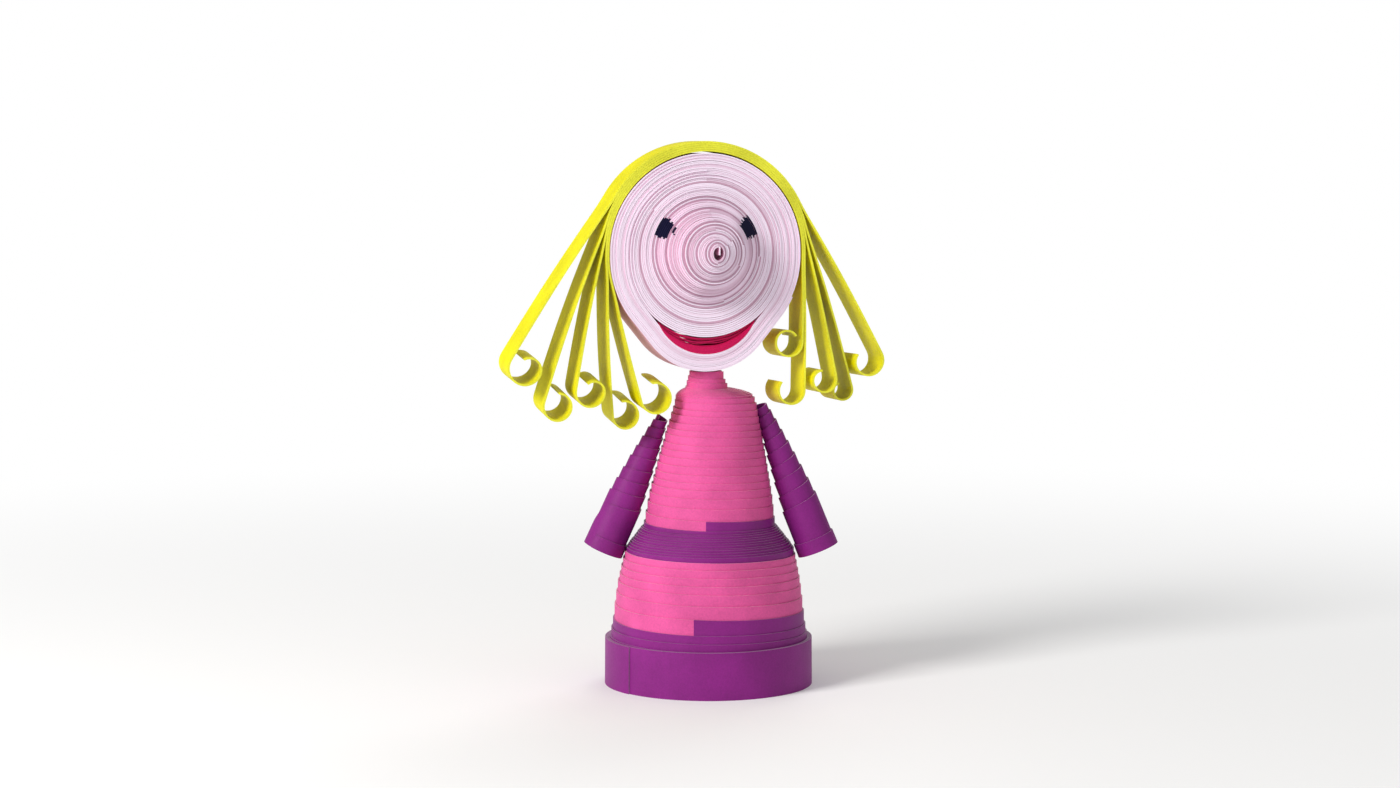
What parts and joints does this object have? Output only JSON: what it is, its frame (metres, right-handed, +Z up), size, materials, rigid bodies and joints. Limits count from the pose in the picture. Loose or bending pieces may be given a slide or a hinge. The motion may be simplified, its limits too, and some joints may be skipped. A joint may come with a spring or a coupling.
{
  "type": "quilled paper doll",
  "caption": "Free-standing quilled paper doll with a coiled cone dress, cone arms, a coil face with pushed-out nose and long curled strip hair.",
  "frame": {"origin": "centre of the hem's bottom edge", "axes": "+Z up, the doll looks along -Y, +X to the viewer's right"},
  "size_m": [0.0401, 0.0224, 0.0578],
  "materials": {
    "pink_paper": "matte",
    "purple_paper": "matte",
    "light_pink_paper": "matte",
    "magenta_paper": "matte",
    "yellow_paper": "matte"
  },
  "bodies": {
    "root": {"hem_rim": "purple_paper", "skirt_purple": "purple_paper", "skirt_pink": "pink_paper", "waist_band": "purple_paper", "bodice": "pink_paper", "neck": "pink_paper", "left_arm": "purple_paper", "right_arm": "purple_paper", "face": "light_pink_paper", "mouth": "magenta_paper", "head_wrap": "light_pink_paper", "hair_strip_1": "yellow_paper", "hair_strip_2": "yellow_paper", "hair_strip_3": "yellow_paper", "hair_strip_4": "yellow_paper", "hair_strip_5": "yellow_paper"}
  },
  "joints": []
}
